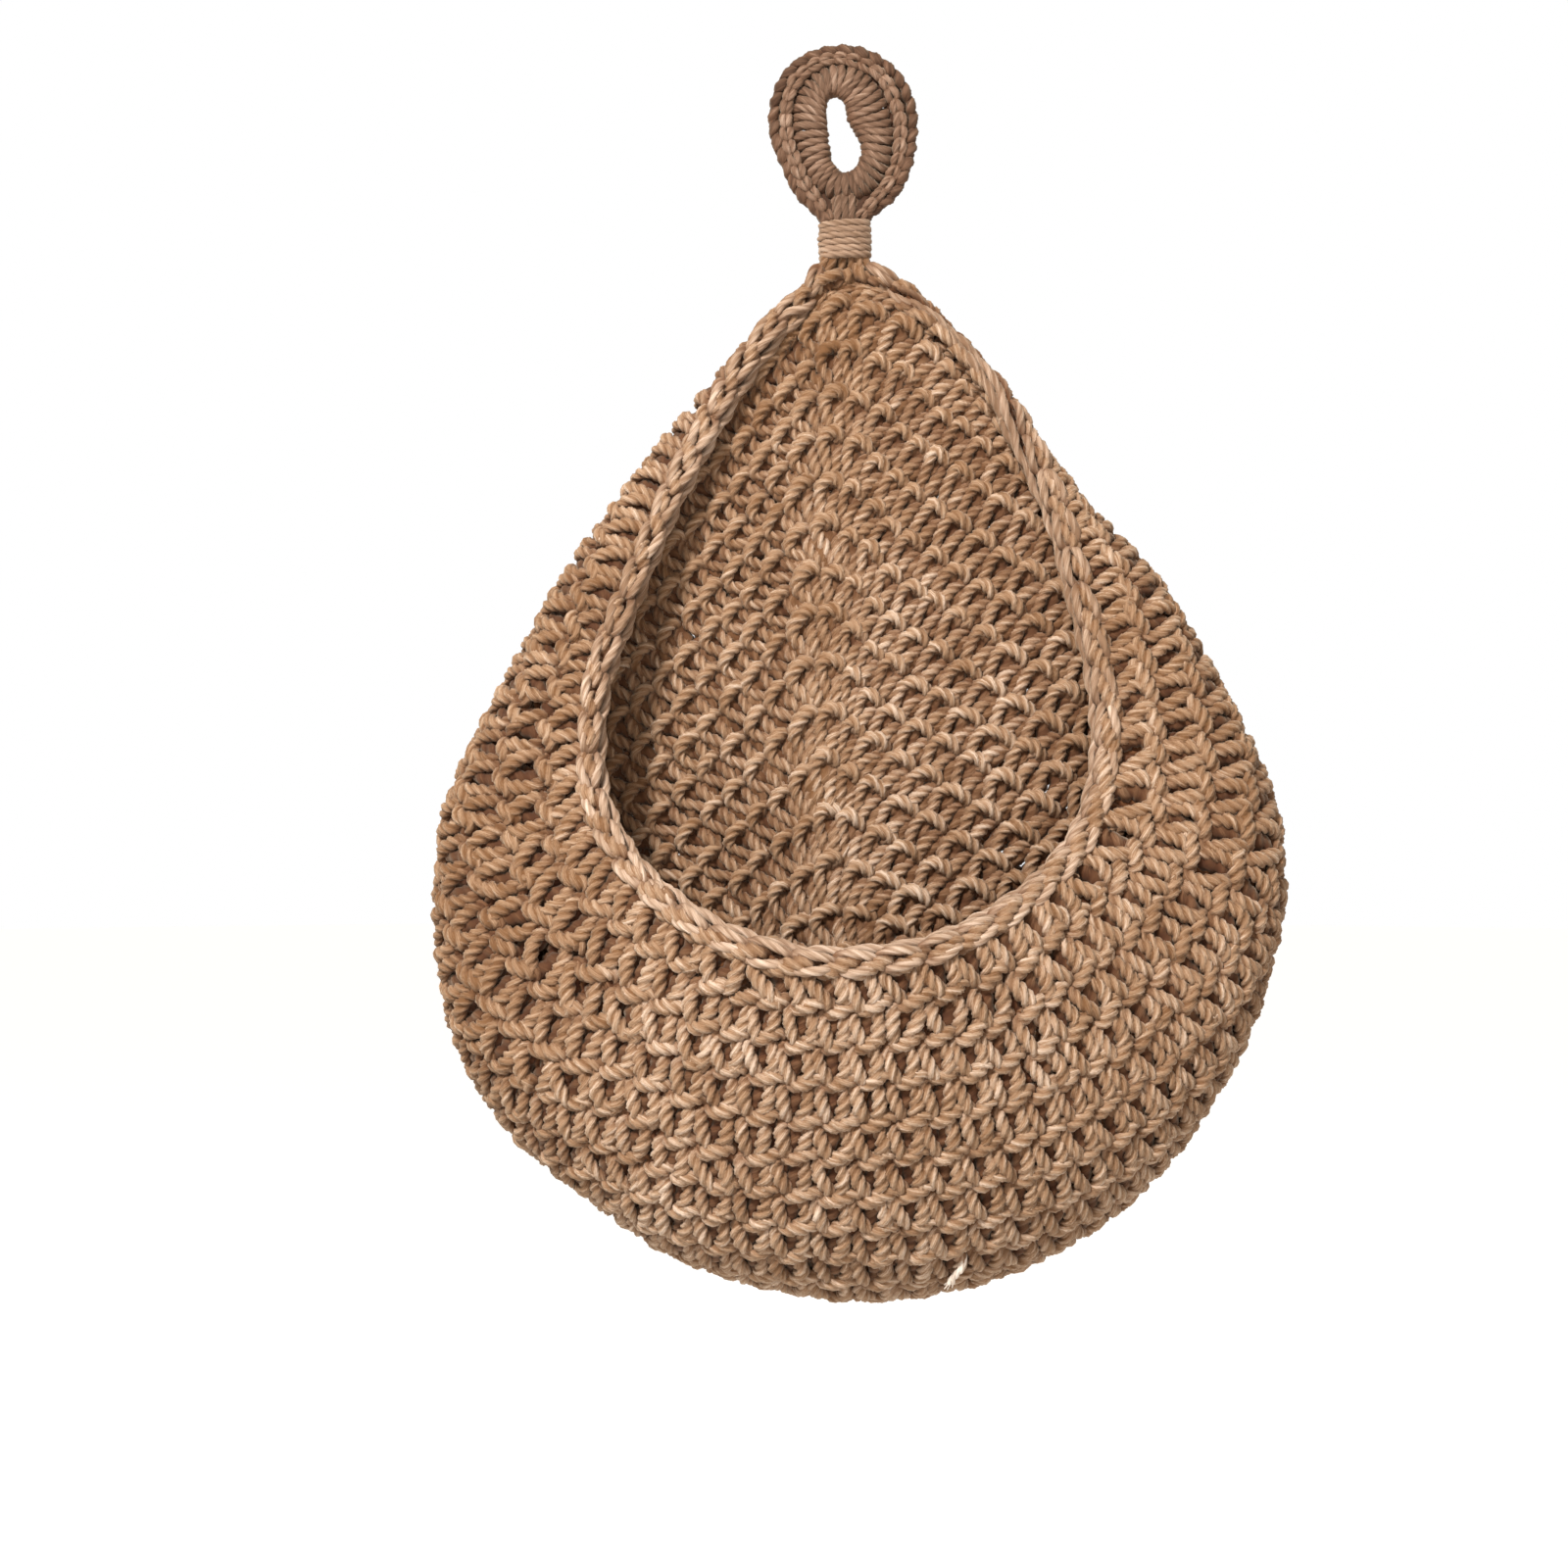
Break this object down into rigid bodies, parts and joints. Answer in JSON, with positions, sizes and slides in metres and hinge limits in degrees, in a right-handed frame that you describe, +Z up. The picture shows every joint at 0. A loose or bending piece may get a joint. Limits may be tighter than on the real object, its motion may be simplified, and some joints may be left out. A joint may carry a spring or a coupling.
{
  "type": "wall basket",
  "caption": "Teardrop wall basket crocheted in jute yarn, with a pouch on its lower front, an open mouth above it and a small whipped hanging loop at its point.",
  "frame": {"origin": "on the wall plane, straight behind the top of the hanging loop's eye, where the nail that carries the basket leaves the wall", "axes": "+Z up along the basket's length, +Y into the wall, so the front and the mouth face -Y, +X to the right as seen from the front"},
  "size_m": [0.2025, 0.0645, 0.3013],
  "materials": {
    "jute_rounds": "rough crocheted jute yarn",
    "jute_rim": "chain stitches of jute yarn",
    "jute_loop": "tight crocheted jute yarn",
    "jute_whipping": "wound jute yarn",
    "jute_cut_end": "frayed jute yarn"
  },
  "bodies": {
    "hanging_loop": {"loop_foundation_chain": "jute_loop", "loop_stitches": "jute_loop", "loop_edge_chain": "jute_loop"},
    "neck": {"neck_core_strands": "jute_loop", "neck_whipping": "jute_whipping"},
    "basket": {"start_ring": "jute_rounds", "round_02": "jute_rounds", "round_03": "jute_rounds", "round_04": "jute_rounds", "round_05": "jute_rounds", "round_06": "jute_rounds", "round_07": "jute_rounds", "round_08": "jute_rounds", "round_09": "jute_rounds", "round_10": "jute_rounds", "round_11": "jute_rounds", "round_12": "jute_rounds", "round_13": "jute_rounds", "round_14": "jute_rounds", "round_15": "jute_rounds", "round_16": "jute_rounds", "round_17": "jute_rounds", "rim_chain": "jute_rim", "yarn_end": "jute_cut_end"}
  },
  "joints": [
    {"name": "neck_twist", "type": "hinge", "parent": "hanging_loop", "child": "neck", "pos_m": [0.0011, -0.0041, -0.0309], "axis": [0, 0, 1], "range_deg": [-30, 30], "stiffness_Nm_per_rad": 0.03},
    {"name": "neck_tilt", "type": "hinge", "parent": "neck", "child": "basket", "pos_m": [0.0011, -0.0068, -0.0425], "axis": [-1, 0, 0], "range_deg": [0, 60]}
  ]
}
